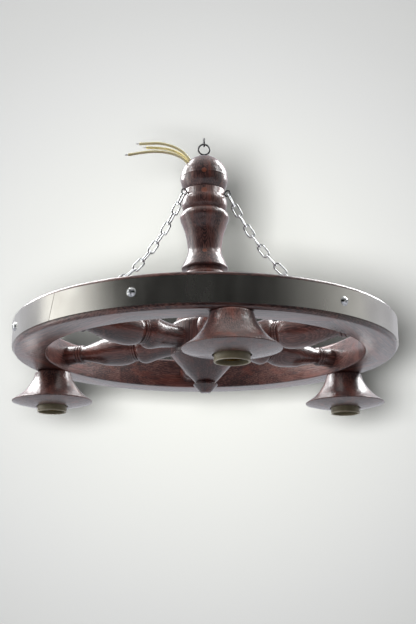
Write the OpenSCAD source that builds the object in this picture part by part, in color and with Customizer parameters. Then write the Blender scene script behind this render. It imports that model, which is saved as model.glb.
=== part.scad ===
// Wagon wheel chandelier: a turned wooden wheel with a steel tyre, hung under a
// turned column, with three lamp cups under the rim and three slack side chains.
// Millimetres, +Z up. The origin is where a ceiling hook bears inside the top link.

/* [Hang link and eye] */
// Outer length of the link that the ceiling hook goes through
link_len = 13.5; // [12:0.5:20]
// Outer width of that link
link_w = 9.2; // [8:0.1:12]
// Wire of that link
link_wire = 2.2; // [1.6:0.1:2.4]
// Outer diameter of the eye on top of the tie rod
eye_d = 18; // [16:0.5:26]
// Wire of the eye
eye_wire = 2.4; // [1.6:0.1:3]
// Neck between the ball and the eye
eye_neck = 2; // [1:0.5:6]

/* [Tie rod] */
// Diameter of the rod that holds the stack together
rod_d = 5; // [4:0.5:6]
// Diameter of the bore that it shares with the wires
bore_d = 17; // [16:0.5:20]
// Washer under the cone cap
washer_d = 15; // [12:0.5:16]
// Thickness of the washer
washer_t = 1.2; // [0.8:0.1:2]
// Height of the nut
nut_h = 4; // [3:0.5:5]
// Width of the nut across its flats
nut_flats = 8; // [7:0.5:10]

/* [Ball] */
// Diameter of the ball
ball_d = 65; // [56:1:80]
// Diameter of the flat that it stands on
ball_seat_d = 52; // [40:1:54]

/* [Collar] */
// Height of the collar under the ball
collar_h = 28.5; // [24:0.5:36]
// Diameter of its straight band
collar_d = 57.4; // [56:0.2:66]
// Diameter of its bead
collar_bead_d = 62; // [60:0.5:74]
// Diameter where it stands on the column
collar_foot_d = 54.6; // [44:0.2:56]

/* [Column] */
// Height of the column
column_h = 83; // [70:1:120]
// Diameter of its shoulder
column_shoulder_d = 66.6; // [60:0.2:80]
// Diameter of its waist
column_waist_d = 45.4; // [36:0.2:52]
// Diameter of its foot
column_foot_d = 62.4; // [54:0.2:76]

/* [Pedestal] */
// Height of the pedestal between the column and the hub
pedestal_h = 75; // [50:1:100]
// Diameter of its top
pedestal_top_d = 48; // [40:1:54]
// Diameter of its bead
pedestal_bead_d = 58; // [54:1:66]
// Diameter of its waist
pedestal_waist_d = 44; // [36:1:46]
// Diameter of its foot
pedestal_foot_d = 76; // [60:1:80]

/* [Hub] */
// Diameter of the hub
hub_d = 90.5; // [84:0.5:104]
// Height of the hub above the middle of the rim
hub_up = 24; // [23:0.5:34]
// Depth of the hub below the middle of the rim
hub_down = 18.2; // [17:0.2:24]
// Diameter of the wiring space inside the hub
hub_space_d = 48; // [44:1:52]
// Thickness of the web over that space
hub_web = 12; // [8:0.5:12]

/* [Cone cap and knob] */
// Height of the cone cap
cap_h = 37.3; // [28:0.5:50]
// Diameter of its lower end
cap_tip_d = 25.8; // [22:0.2:32]
// Height of the knob
knob_h = 13; // [12:0.5:22]
// Diameter of the knob
knob_d = 31.8; // [26:0.2:40]

/* [Rim] */
// Diameter of the wheel over its tyre
wheel_d = 500; // [460:5:560]
// Width of the wooden rim
rim_w = 41; // [38:1:44]
// Height of the rim above its middle
rim_up = 20.5; // [18:0.5:24]
// Depth of the rim below its middle
rim_down = 21.5; // [19:0.5:26]

/* [Tyre] */
// Height of the steel strip
tyre_h = 31; // [20:1:34]
// Thickness of the strip
tyre_t = 2; // [1:0.25:3]
// Gap at the strip's butt joint
tyre_gap = 0.8; // [0.4:0.1:2]
// Slant of that joint against the wheel's axis
tyre_slant = 17; // [0:1:20]
// Diameter of the round screw heads
screw_head_d = 11.4; // [8:0.2:13]
// Height of the heads
screw_head_h = 3.4; // [2:0.1:4]
// Diameter of the screw shanks
screw_d = 3.6; // [3:0.1:4]
// Length of the screws under the head
screw_len = 16; // [12:1:20]

/* [Spokes] */
// Diameter of the long swelling
spoke_swell_d = 42; // [36:0.5:44]
// Diameter of the short swelling beside the hub
spoke_bulb_d = 42; // [36:0.5:44]
// Length of the short swelling
spoke_bulb_len = 52; // [46:1:60]
// Diameter of a spoke at the hub
spoke_root_d = 28; // [24:0.5:34]
// Diameter of the double bead between the swellings
spoke_bead_d = 34; // [32:0.5:38]
// Width of one of those beads
spoke_bead_w = 3.2; // [2.5:0.1:4.5]
// Diameter of the thin waist near the rim
spoke_waist_d = 21; // [20:0.5:24]
// Diameter of the two rings and the collar at the rim
spoke_collar_d = 26; // [25:0.5:30]
// Length of that collar
spoke_collar_len = 17; // [12:1:24]
// Width of one ring
spoke_ring_w = 4; // [3:0.2:5]
// Diameter of the round tenons
tenon_d = 16; // [14:0.5:18]
// Length of the tenons
tenon_len = 16; // [14:0.5:16]
// Angle by which the third spoke and its lamp sit back from their even place
third_lag = 6; // [0:1:10]

/* [Lamp cups] */
// Distance from the wheel's edge to the middle of a cup
cup_inset = 19.5; // [18:0.5:22]
// Height of a cup
cup_h = 41.5; // [38:0.5:46]
// Diameter of its top
cup_top_d = 49.2; // [48:0.2:54]
// Diameter of its disc
cup_disc_d = 110.6; // [98:0.5:120]
// Thickness of the disc's edge
cup_lip = 1.3; // [0.8:0.1:2.5]
// Swell of a cup's underside below its lip, at the lampholder
cup_belly = 7; // [4:0.5:9]
// Thickness of the wood over the lampholder
cup_web = 5.5; // [4:0.5:7]
// Gap round the lampholder
cup_gap = 1.7; // [1:0.1:2.4]

/* [Lampholders] */
// Outer diameter of a lampholder
holder_d = 40; // [39:0.2:41]
// Wall of its skirt
holder_wall = 2; // [1.6:0.1:2.4]
// How far it stands out under the cup
holder_drop = 14.5; // [12:0.5:18]
// Height of its domed cap
holder_cap_h = 20; // [18:0.5:22]
// Inner diameter of the threaded shell for a 27 mm lamp base
shell_d = 26.5; // [26.3:0.1:26.7]
// Wall of the shell
shell_wall = 0.5; // [0.4:0.1:0.8]
// Length of the shell
shell_len = 19; // [16:0.5:19]
// Thickness of the insert that carries the contacts
insert_t = 6; // [5:0.5:8]
// Diameter of the threaded nipple
nipple_d = 10; // [9.5:0.1:10.5]
// Bore of the nipple
nipple_bore = 7; // [6.4:0.1:7.4]
// Depth of the nipple in the rim
nipple_deep = 15; // [12:0.5:15]

/* [Wiring] */
// Diameter of a lamp lead
lead_d = 4.4; // [3.6:0.1:4.6]
// Diameter of a supply wire
wire_d = 3.8; // [3:0.1:3.8]
// Diameter of the hole that the three supply wires leave the ball through
exit_d = 11; // [10.8:0.1:12]
// Diameter of the junction block in the hub
block_d = 28; // [24:0.5:32]

/* [Chains] */
// Wire of the chain links
chain_wire = 2.2; // [1.8:0.1:2.4]
// Outer width of a link
chain_w = 11; // [9:0.2:12]
// Inner length of a link
chain_in = 18.3; // [15:0.1:22]
// Least spare length of a chain, in percent
chain_spare = 2; // [2:0.5:6]
// Wire of the screw eyes
hook_wire = 2; // [1.6:0.1:2.2]
// Outer diameter of the eyes' loops
hook_d = 10; // [9.4:0.2:13]
// Diameter of the eyes' threaded shanks
hook_root = 1.8; // [1.4:0.1:1.9]
// Length of the eyes' shanks in the wood
hook_shank = 12; // [8:0.5:12]
// Distance of the rim's eyes from the inside of the tyre
hook_inset = 23; // [18:0.5:26]

/* [Hidden] */
$fn = 96;

fit = 0.05;     // radial clearance of a tenon, rod or thread in its hole
seat = 0.3;     // gap between loose pieces that bear on each other
over = 1;       // how far a cut runs past the face that it opens
wood = [0.30, 0.17, 0.14];
steel = [0.75, 0.76, 0.78];
brass = [0.78, 0.62, 0.30];
cream = [0.86, 0.82, 0.66];

// Heights down the stack, from the hook's seat in the link
eye_z = eye_wire + seat + 2 * link_wire - link_len - eye_d / 2;
ball_top = eye_z - eye_d / 2 - eye_neck;
ball_cut = sqrt(pow(ball_d / 2, 2) - pow(ball_seat_d / 2, 2));
ball_mid = ball_top - ball_d / 2;
collar_z = ball_mid - ball_cut - collar_h;
column_z = collar_z - column_h;
pedestal_z = column_z - pedestal_h;
wheel_z = pedestal_z - hub_up;
cap_z = wheel_z - hub_down - cap_h;
knob_z = cap_z - knob_h;

// The wheel
tyre_in = wheel_d / 2 - tyre_t;
rim_in = tyre_in - rim_w;
hub_r = hub_d / 2;
cup_at = wheel_d / 2 - cup_inset;
cup_z = -rim_down - cup_h;
felloe_play = 0.05;   // degrees left between two felloes
screw_angles = [32, 94, 160, 226, 283, 334];   // placed by eye
tyre_joint = 308;

// The lampholder, down from the rim's underside
holder_top = -rim_down - cup_web;
lead_play = lead_d + 1.6;   // bore round a lamp lead
holder_end = cup_z - holder_drop;
cap_end = holder_top - holder_cap_h;
insert_top = cap_end + insert_t / 2;
insert_end = insert_top - insert_t;
well_d = 24;          // well round the centre contact
shell_top = insert_end - 4;

// The chains, as [distance from the axis, height over the wheel's middle]
hook_r = hook_d / 2 - hook_wire / 2;
hook_up = hook_wire / 2 + hook_r + seat;   // middle of an eye's loop over the wood
pitch = chain_in - seat;
collar_eye = [collar_d / 2 + hook_up, collar_z + 0.74 * collar_h - wheel_z];
rim_eye = [tyre_in - hook_inset, rim_up + hook_up];
chain_n = ceil(norm(rim_eye - collar_eye) * (1 + chain_spare / 100) / pitch);
chain_len = chain_n * pitch;
cross_rim = chain_n % 2 == 0;   // the rim's eyes then stand across the chains
to_wire = (hook_wire + seat) / 2;
collar_pull = 62;
rim_pull = 2;
chain_top = collar_eye + (hook_r - to_wire) * [cos(collar_pull), -sin(collar_pull)];
chain_low = cross_rim ? rim_eye + [to_wire * cos(rim_pull), hook_r - to_wire * sin(rim_pull)]
    : rim_eye + (hook_r - to_wire) * [-cos(rim_pull), sin(rim_pull)];
span = chain_low - chain_top;

// The three supply wires rise beside the rod and leave the ball through a slanting hole.
// Places in it are [distance to the left of the axis, height over the ball's middle].
block_up = 7;   // top of the junction block over the wheel's middle
wire_fan = 37;   // angle of two of the wires beside the third, seen from above
wire_r = rod_d / 2 + wire_d / 2 + seat;
wire_rise = 52;   // slope of the exit hole, degrees
exit_from = [4.2, 2.3];   // a point on the hole's middle line
wire_out = ball_d / 2 - 5.5;   // where the inner wires end along that line
wire_square = 3;   // straight length of a free wire where it starts
// Each wire: distance to the left, distance to the side, place across the exit hole
wires = [[wire_r * cos(wire_fan), -wire_r * sin(wire_fan), 1.7],
    [bore_d / 2 - wire_d / 2 - 0.2, 0, -2.5],
    [wire_r * cos(wire_fan), wire_r * sin(wire_fan), 0.5]];
// Points that their bare-ended free lengths follow
wires_free = [
    [[23.2, 29.8], [27, 34.6], [32.5, 39.2], [39, 42.9], [46.5, 45.8], [54, 47.7], [61.5, 48.6],
        [69, 48.5], [76, 47.8], [83, 47], [90, 46.5]],
    [[28.2, 28], [33.5, 31.4], [40, 34.2], [47, 36.1], [54.5, 37.2], [62, 37.5], [69.5, 37.3],
        [77, 36.5], [84, 35.4], [91, 33.9], [98, 32.4], [105, 30.9]],
    [[26.5, 31.6], [32.5, 36.6], [39.5, 40.1], [47, 42.3], [54.5, 43.5], [62, 44], [69, 44.2],
        [75, 44.1], [80, 43.9]]];

// Curves --------------------------------------------------------------------------

// One point of a Catmull-Rom curve between b and c
function blend(a, b, c, d, t) = 0.5 * (2 * b + (c - a) * t + (2 * a - 5 * b + 4 * c - d) * t * t
    + (3 * b - a - 3 * c + d) * t * t * t);

// A smooth run through stations, with n steps between two of them
function run(p, n = 4) = [for (i = [0 : len(p) - 2], k = [0 : n - 1])
    blend(p[max(i - 1, 0)], p[i], p[i + 1], p[min(i + 2, len(p) - 1)], k / n), p[len(p) - 1]];

// A bead of a turned profile: a half round of height h between two stations
function bead(r, h, from, to, n = 6) = [for (k = [0 : n])
    [r + h * sin(180 * k / n), from + (to - from) * (1 - cos(180 * k / n)) / 2]];

function sinh(x) = (exp(x) - exp(-x)) / 2;
function cosh(x) = (exp(x) + exp(-x)) / 2;
function asinh(x) = ln(x + sqrt(x * x + 1));
function atanh(x) = ln((1 + x) / (1 - x)) / 2;

// The catenary constant for a span, from the length left over, by halving an interval
function sag(span_x, left, lo, hi, n = 50) = let(c = (lo + hi) / 2)
    n == 0 ? c : 2 * c * sinh(span_x / (2 * c)) > left
        ? sag(span_x, left, c, hi, n - 1) : sag(span_x, left, lo, c, n - 1);

cat_c = sag(span[0], sqrt(pow(chain_len, 2) - pow(span[1], 2)), span[0] / 40, span[0] * 40);
cat_x = cat_c * (atanh(span[1] / chain_len) - span[0] / (2 * cat_c));
cat_s = cat_c * sinh(cat_x / cat_c);

// Where link k meets the next one, along the hanging curve
function joint(k) = let(x = cat_c * asinh((cat_s + k * pitch) / cat_c))
    chain_top + [x - cat_x, cat_c * (cosh(x / cat_c) - cosh(cat_x / cat_c))];

// The point at t along the exit hole on wire w's line, and where w bends into that line
function in_exit(w, t) = exit_from + t * [cos(wire_rise), sin(wire_rise)]
    + w[2] * [-sin(wire_rise), cos(wire_rise)];
function bend_at(w) = (w[0] - exit_from[0] + w[2] * sin(wire_rise)) / cos(wire_rise);

// Placing ---------------------------------------------------------------------------

// Angle of spoke n, from the front, anticlockwise seen from above
function spoke_turn(n) = (n - 1) * 60 - (n == 3 ? third_lag : 0);

module at_wheel(turn = 0) {
    translate([0, 0, wheel_z]) rotate([0, 0, turn - 90]) children();
}

// Lamp k hangs under the odd spoke 2k - 1
module at_lamp(k) {
    at_wheel(spoke_turn(2 * k - 1)) translate([cup_at, 0, 0]) children();
}

// Lays a shape that was turned about Z along X
module along_x() {
    rotate([0, 90, 0]) children();
}

module turned(profile) {
    rotate_extrude() polygon(profile);
}

module hole(d, from, to) {
    translate([0, 0, from]) cylinder(d = d, h = to - from);
}

module ring(wire_r, loop_r, turn = 360) {
    rotate_extrude(angle = turn) translate([loop_r, 0]) circle(r = wire_r, $fn = 32);
}

// A round-ended link along X, lying in the XY plane
module link(len, width, wire) {
    bend = (width - wire) / 2;
    straight = len - width;
    for (side = [-1, 1]) {
        translate([-straight / 2, side * bend, 0]) rotate([0, 90, 0])
            cylinder(d = wire, h = straight, $fn = 32);
        translate([side * straight / 2, 0, 0]) rotate([0, 0, -90 * side]) ring(wire / 2, bend, 180);
    }
}

// A screw eye with its loop in the XZ plane, its shank down from z = 0
module screw_eye() {
    translate([0, 0, hook_up]) rotate([90, 0, 0]) ring(hook_wire / 2, hook_r);
    hole(hook_root, -hook_shank, hook_up - hook_r);
}

// A tube swept along points, as one closed surface with side_n sides
module swept(path, d, side_n = 8) {
    n = len(path);
    rings = [for (i = [0 : n - 1]) let(
        t = path[min(i + 1, n - 1)] - path[max(i - 1, 0)],
        flat_n = [-t[2], 0, t[0]] / norm([t[0], 0, t[2]]))
        [for (k = [0 : side_n - 1]) path[i] + d / 2 * (cos(360 * k / side_n) * flat_n
            + sin(360 * k / side_n) * [0, 1, 0])]];
    points = [for (r = rings, p = r) p];
    sides = [for (i = [0 : n - 2], k = [0 : side_n - 1]) let(j = (k + 1) % side_n)
        [i * side_n + k, i * side_n + j, (i + 1) * side_n + j, (i + 1) * side_n + k]];
    ends = [[for (k = [side_n - 1 : -1 : 0]) k], [for (k = [0 : side_n - 1]) (n - 1) * side_n + k]];
    triangles = [for (f = sides) each [[f[0], f[1], f[2]], [f[0], f[2], f[3]]]];
    polyhedron(points, concat(triangles, ends), convexity = 4);
}

// Column and hub ----------------------------------------------------------------------

module hang_link() {
    color(steel) translate([0, 0, link_wire - link_len / 2]) rotate([0, 90, 0])
        link(link_len, link_w, link_wire);
}

module tie_rod() {
    color(steel) {
        translate([0, 0, eye_z]) rotate([90, 0, 0]) ring(eye_wire / 2, (eye_d - eye_wire) / 2);
        hole(eye_wire, ball_top, eye_z - eye_d / 2 + eye_wire / 2);
        hole(rod_d, cap_z - washer_t - nut_h - 1.5, ball_top + 0.5);
    }
}

module rod_washer() {
    color(steel) difference() {
        hole(washer_d, cap_z - washer_t, cap_z);
        hole(rod_d + 2 * fit, cap_z - washer_t - over, cap_z + over);
    }
}

module rod_nut() {
    color(steel) difference() {
        translate([0, 0, cap_z - washer_t - nut_h])
            cylinder(d = nut_flats / cos(30), h = nut_h, $fn = 6);
        hole(rod_d + 2 * fit, cap_z - washer_t - nut_h - over, cap_z);
    }
}

module ball() {
    color(wood) difference() {
        translate([0, 0, ball_mid]) intersection() {
            sphere(d = ball_d);
            hole(2 * ball_d, -ball_cut, ball_d);
        }
        hole(rod_d + 2 * fit, ball_mid, ball_top + over);
        hole(bore_d, ball_mid - ball_d, ball_mid + bore_d / 2);
        translate([-exit_from[0], 0, ball_mid + exit_from[1]]) rotate([0, wire_rise - 90, 0])
            cylinder(d = exit_d, h = ball_d);
    }
}

module collar() {
    r = collar_d / 2;
    band = 0.66 * collar_h;
    profile = concat([[bore_d / 2, 0]],
        run([[collar_foot_d / 2, 0], [collar_bead_d / 2 - 1, 0.14 * collar_h],
            [collar_bead_d / 2, 0.38 * collar_h], [collar_bead_d / 2 - 0.8, 0.56 * collar_h],
            [r, band]]),
        [[r, collar_h - 1], [r - 1, collar_h], [bore_d / 2, collar_h]]);
    color(wood) difference() {
        translate([0, 0, collar_z]) turned(profile);
        for (n = [2, 4, 6]) at_wheel(spoke_turn(n)) translate([r, 0, collar_eye[1]]) along_x()
            hole(hook_root + 2 * fit, -hook_shank - seat, over);
    }
}

module column() {
    foot = column_foot_d / 2;
    waist = column_waist_d / 2;
    shoulder = column_shoulder_d / 2;
    swell = shoulder - waist;
    profile = concat([[bore_d / 2, 0], [foot, 0]],
        run([[foot, 2], [waist + 0.78 * (foot - waist), 0.08 * column_h],
            [waist + 0.42 * (foot - waist), 0.165 * column_h],
            [waist + 0.09 * (foot - waist), 0.25 * column_h], [waist, 0.35 * column_h],
            [waist + 0.29 * swell, 0.59 * column_h], [waist + 0.71 * swell, 0.76 * column_h],
            [shoulder, 0.875 * column_h], [shoulder - 1.8, 0.95 * column_h],
            [collar_foot_d / 2, column_h]]),
        [[bore_d / 2, column_h]]);
    color(wood) translate([0, 0, column_z]) turned(profile);
}

module pedestal() {
    foot = pedestal_foot_d / 2;
    waist = pedestal_waist_d / 2;
    top = pedestal_top_d / 2;
    profile = concat([[bore_d / 2, 0], [foot, 0]],
        run([[foot, 5], [0.6 * foot + 0.4 * waist, 0.15 * pedestal_h],
            [waist + 2, 0.3 * pedestal_h], [waist, 0.45 * pedestal_h],
            [waist + 2, 0.62 * pedestal_h], [top, 0.74 * pedestal_h]]),
        bead(top, pedestal_bead_d / 2 - top, 0.77 * pedestal_h, 0.95 * pedestal_h),
        [[top, pedestal_h], [bore_d / 2, pedestal_h]]);
    color(wood) translate([0, 0, pedestal_z]) turned(profile);
}

module hub() {
    edge = 6;
    space_top = hub_up - hub_web;
    profile = concat([[hub_space_d / 2, -hub_down], [hub_r - 0.6, -hub_down],
        [hub_r, -hub_down + 0.6]],
        [for (k = [0 : 6]) [hub_r - edge + edge * cos(15 * k), hub_up - edge + edge * sin(15 * k)]],
        [[bore_d / 2, hub_up], [bore_d / 2, space_top], [hub_space_d / 2, space_top]]);
    color(wood) difference() {
        translate([0, 0, wheel_z]) turned(profile);
        for (n = [1 : 6]) at_wheel(spoke_turn(n)) along_x()
            hole(tenon_d + 2 * fit, hub_r - tenon_len - seat, hub_r + over);
        for (n = [1, 3, 5]) at_wheel(spoke_turn(n)) along_x()
            hole(lead_play, hub_space_d / 2 - 2, hub_r);
    }
}

module cone_cap() {
    profile = [[0, 0], [cap_tip_d / 2, 0], [hub_r, cap_h - 1.5], [hub_r, cap_h], [0, cap_h]];
    color(wood) difference() {
        translate([0, 0, cap_z]) turned(profile);
        hole(rod_d + 2 * fit, cap_z - over, cap_z + cap_h + over);
    }
}

module finial_knob() {
    r = knob_d / 2;
    tip = 5.5;
    space_d = washer_d + 2 * seat;
    space_h = washer_t + nut_h + 1.5 + seat;
    profile = concat([[0, 0], [tip, 0.4]],
        run([[tip + 1.5, 1], [r - 3, knob_h - 6], [r - 0.5, knob_h - 3.4], [r, knob_h - 2.4]]),
        [[r - 3, knob_h - 0.6], [r - 3, knob_h], [0, knob_h]]);
    color(wood) difference() {
        translate([0, 0, knob_z]) turned(profile);
        hole(space_d, knob_z + knob_h - space_h, knob_z + knob_h + over);
    }
}

// Wheel ----------------------------------------------------------------------------------

// Whether something at angle a sits in felloe n, which reaches 30 degrees each way
function in_felloe(a, n) = abs((a - 60 * (n - 1) + 540) % 360 - 180) < 30;

module felloe(n) {
    out = tyre_in;
    low = (tyre_h / 2 + rim_down) / 2;
    profile = [[rim_in + 1, -rim_down], [out - 2, -rim_down], [out, -low],
        [out, rim_up - 3], [out - 1, rim_up - 1], [out - 3, rim_up],
        [rim_in + 2, rim_up], [rim_in, rim_up - 2], [rim_in, -rim_down + 1]];
    color(wood) difference() {
        at_wheel(60 * (n - 1) - 30 + felloe_play / 2)
            rotate_extrude(angle = 60 - felloe_play) polygon(profile);
        at_wheel(spoke_turn(n)) along_x()
            hole(tenon_d + 2 * fit, rim_in - 3, rim_in + tenon_len + seat);
        if (n % 2 == 1) at_lamp((n + 1) / 2) {
            hole(nipple_d + 2 * fit, -rim_down - over, lead_d);
            along_x() hole(lead_play, rim_in - cup_at, 0);
        }
        if (n % 2 == 0) at_wheel(spoke_turn(n)) translate([rim_eye[0], 0, 0])
            hole(hook_root + 2 * fit, rim_up - hook_shank - seat, rim_up + over);
        for (a = screw_angles) if (in_felloe(a, n)) at_wheel(a) along_x()
            hole(screw_d + 2 * fit, out - screw_len - seat + tyre_t, out + over);
    }
}

module tyre() {
    color(steel) difference() {
        at_wheel() hole(2 * tyre_in + 2 * tyre_t, -tyre_h / 2, tyre_h / 2);
        at_wheel() hole(2 * tyre_in, -tyre_h, tyre_h);
        for (a = screw_angles) at_wheel(a) along_x()
            hole(screw_d + 2 * fit, tyre_in - over, tyre_in + tyre_t + over);
        at_wheel(tyre_joint) rotate([-tyre_slant, 0, 0])
            translate([tyre_in - over, -tyre_gap / 2, -tyre_h])
                cube([tyre_t + 2 * over, tyre_gap, 2 * tyre_h]);
    }
}

// A round-headed screw with a crossed recess, its head on z = 0
module round_screw() {
    dome = (pow(screw_head_d / 2, 2) + pow(screw_head_h, 2)) / (2 * screw_head_h);
    slot = [0.55 * screw_head_d, 1.1, screw_head_h];
    difference() {
        union() {
            intersection() {
                translate([0, 0, screw_head_h - dome]) sphere(r = dome);
                hole(2 * dome, 0, screw_head_h + over);
            }
            hole(screw_d, -screw_len, screw_head_h / 2);
        }
        for (a = [0, 90]) rotate([0, 0, a + 20])
            translate([-slot[0] / 2, -slot[1] / 2, screw_head_h - 1.5]) cube(slot);
    }
}

module tyre_screws() {
    color(steel) for (a = screw_angles) at_wheel(a) translate([wheel_d / 2, 0, 0])
        along_x() round_screw();
}

module spoke(n) {
    wired = n % 2 == 1;
    bulb_end = hub_r + spoke_bulb_len;
    swell_from = bulb_end + 2 * spoke_bead_w;
    ring_from = rim_in - spoke_collar_len - 2 * spoke_ring_w;
    vase = ring_from - swell_from;
    root = spoke_root_d / 2;
    bulb = spoke_bulb_d / 2;
    swell = spoke_swell_d / 2;
    neck = spoke_bead_d / 2 - 1.5;
    waist = spoke_waist_d / 2;
    collar_r = spoke_collar_d / 2;
    profile = concat([[0, hub_r - 4]],
        run([[root, hub_r - 4], [root + 0.15 * (bulb - root), hub_r + 0.17 * spoke_bulb_len],
            [root + 0.45 * (bulb - root), hub_r + 0.46 * spoke_bulb_len],
            [bulb, hub_r + 0.78 * spoke_bulb_len], [bulb - 1.5, bulb_end - 4],
            [neck, bulb_end]]),
        bead(neck, 1.5, bulb_end, bulb_end + spoke_bead_w),
        bead(neck, 1.5, bulb_end + spoke_bead_w, swell_from),
        run([[neck, swell_from], [swell - 1.6, swell_from + 0.09 * vase],
            [swell, swell_from + 0.27 * vase],
            [waist + 0.81 * (swell - waist), swell_from + 0.53 * vase],
            [waist + 0.5 * (swell - waist), swell_from + 0.69 * vase],
            [waist + 0.17 * (swell - waist), swell_from + 0.86 * vase],
            [waist, swell_from + 0.96 * vase], [waist, ring_from]]),
        bead(waist, collar_r - waist, ring_from, ring_from + spoke_ring_w),
        bead(waist, collar_r - waist, ring_from + spoke_ring_w, ring_from + 2 * spoke_ring_w),
        run([[waist, ring_from + 2 * spoke_ring_w], [collar_r - 1, ring_from + 2 * spoke_ring_w + 2],
            [collar_r, rim_in - 0.4 * spoke_collar_len]]),
        [[collar_r, rim_in + 3], [0, rim_in + 3]]);
    color(wood) at_wheel(spoke_turn(n)) difference() {
        union() {
            intersection() {
                difference() {
                    along_x() turned(profile);
                    hole(hub_d + 2 * fit, -hub_r, hub_r);
                }
                hole(2 * (rim_in - fit), -hub_r, hub_r);
            }
            along_x() hole(tenon_d, hub_r - tenon_len, hub_r + 5);
            along_x() hole(tenon_d, rim_in - 5, rim_in + tenon_len);
        }
        if (wired) along_x() hole(lead_play, hub_r - tenon_len - over, rim_in + tenon_len + over);
    }
}

// Lamps ------------------------------------------------------------------------------------

module lamp_cup(k) {
    top = cup_top_d / 2;
    disc = cup_disc_d / 2;
    bore = holder_d / 2 + cup_gap;
    flare = disc - top;
    // The underside swells down in a shallow bow from the lip to the bore
    belly = [for (t = [0 : 0.125 : 1]) let(r = disc - t * (disc - bore))
        [r, -cup_h - cup_belly * (1 - pow(r / disc, 2)) / (1 - pow(bore / disc, 2))]];
    profile = concat([[nipple_d / 2 + fit, 0]],
        run([[top - 2, 0], [top, -0.04 * cup_h], [top + 0.03 * flare, -0.12 * cup_h],
            [top + 0.08 * flare, -0.235 * cup_h], [top + 0.165 * flare, -0.36 * cup_h],
            [top + 0.32 * flare, -0.53 * cup_h], [top + 0.47 * flare, -0.665 * cup_h],
            [top + 0.63 * flare, -0.78 * cup_h], [top + 0.81 * flare, -0.88 * cup_h],
            [disc - 0.3, cup_lip - cup_h]]),
        [[disc, cup_lip - cup_h - 0.3]], belly,
        [[bore, -cup_web], [nipple_d / 2 + fit, -cup_web]]);
    color(wood) at_lamp(k) translate([0, 0, -rim_down]) turned(profile);
}

module nipple(k) {
    color(brass) at_lamp(k) difference() {
        hole(nipple_d, holder_top - 6, nipple_deep - rim_down);
        hole(nipple_bore, holder_top - 7, nipple_deep - rim_down + over);
    }
}

module holder_cap(k) {
    r = holder_d / 2;
    color(cream) at_lamp(k) difference() {
        union() {
            hole(holder_d - 2, holder_top - 1, holder_top);
            hole(holder_d, cap_end, holder_top - 1);
        }
        hole(nipple_d + 2 * fit, cap_end - over, holder_top + over);
        hole(2 * (r - holder_wall), cap_end - over, holder_top - 6);
    }
}

module holder_insert(k) {
    r = holder_d / 2 - holder_wall - seat;
    color([0.93, 0.92, 0.88]) at_lamp(k) difference() {
        union() {
            hole(2 * r, insert_end, insert_top);
            hole(shell_d + 2 * shell_wall, shell_top, insert_top);
        }
        hole(well_d, shell_top - over, insert_end);
    }
}

module holder_skirt(k) {
    r = holder_d / 2;
    profile = [[r - holder_wall, holder_end + 0.6], [r - holder_wall + 0.6, holder_end],
        [r - 0.6, holder_end], [r, holder_end + 0.6], [r, cap_end], [r - holder_wall, cap_end]];
    color(cream) at_lamp(k) turned(profile);
}

module thread_shell(k) {
    color(brass) at_lamp(k) difference() {
        hole(shell_d + 2 * shell_wall, shell_top - shell_len, shell_top);
        hole(shell_d, shell_top - shell_len - over, shell_top + over);
    }
}

// The springy tongue that touches the lamp's tip, with its root at -X
module contact_spring(k) {
    long = 9;
    wide = 6;
    thick = 0.5;
    droop = 14;
    color(brass) at_lamp(k) translate([-long, 0, insert_end - seat - thick]) rotate([0, droop, 0])
        translate([0, -wide / 2, 0]) cube([long + 2, wide, thick]);
}

module lamp_lead(k) {
    bend = 5;
    color([0.9, 0.9, 0.88]) at_lamp(k) {
        along_x() hole(lead_d, block_d / 2 + seat - cup_at, -bend);
        translate([-bend, 0, -bend]) rotate([90, 0, 0]) ring(lead_d / 2, bend, 90);
        hole(lead_d, insert_top + seat, -bend);
    }
}

module junction_block() {
    color([0.93, 0.92, 0.88]) difference() {
        at_wheel() hole(block_d, -hub_down, block_up);
        at_wheel() hole(rod_d + 2 * fit, -hub_down - over, block_up + over);
    }
}

module inner_wires() {
    elbow_d = wire_d + 0.3;
    color(cream) for (w = wires) {
        elbow = in_exit(w, bend_at(w));
        translate([-elbow[0], w[1], 0]) {
            hole(wire_d, wheel_z + block_up, ball_mid + elbow[1]);
            translate([0, 0, ball_mid + elbow[1]]) {
                sphere(d = elbow_d);
                rotate([0, wire_rise - 90, 0]) hole(wire_d, 0, wire_out - bend_at(w));
            }
        }
    }
}

module supply_wire(k) {
    w = wires[k - 1];
    start = [in_exit(w, wire_out), in_exit(w, wire_out + wire_square)];
    path = [for (p = concat(start, wires_free[k - 1])) [-p[0], w[1], ball_mid + p[1]]];
    color(cream) swept(path, wire_d);
}

// Chains -----------------------------------------------------------------------------------

module collar_eyes() {
    color(steel) for (n = [2, 4, 6]) at_wheel(spoke_turn(n))
        translate([collar_d / 2, 0, collar_eye[1]]) along_x() screw_eye();
}

module rim_eyes() {
    color(steel) for (n = [2, 4, 6]) at_wheel(spoke_turn(n)) translate([rim_eye[0], 0, rim_up])
        rotate([0, 0, cross_rim ? 90 : 0]) screw_eye();
}

module chain(k) {
    color(steel) at_wheel(spoke_turn(2 * k)) for (i = [0 : chain_n - 1]) {
        a = joint(i);
        b = joint(i + 1);
        translate([(a[0] + b[0]) / 2, 0, (a[1] + b[1]) / 2])
            rotate([0, -atan2(b[1] - a[1], b[0] - a[0]), 0]) rotate([i % 2 == 0 ? 0 : 90, 0, 0])
                link(chain_in + 2 * chain_wire, chain_w, chain_wire);
    }
}

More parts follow.
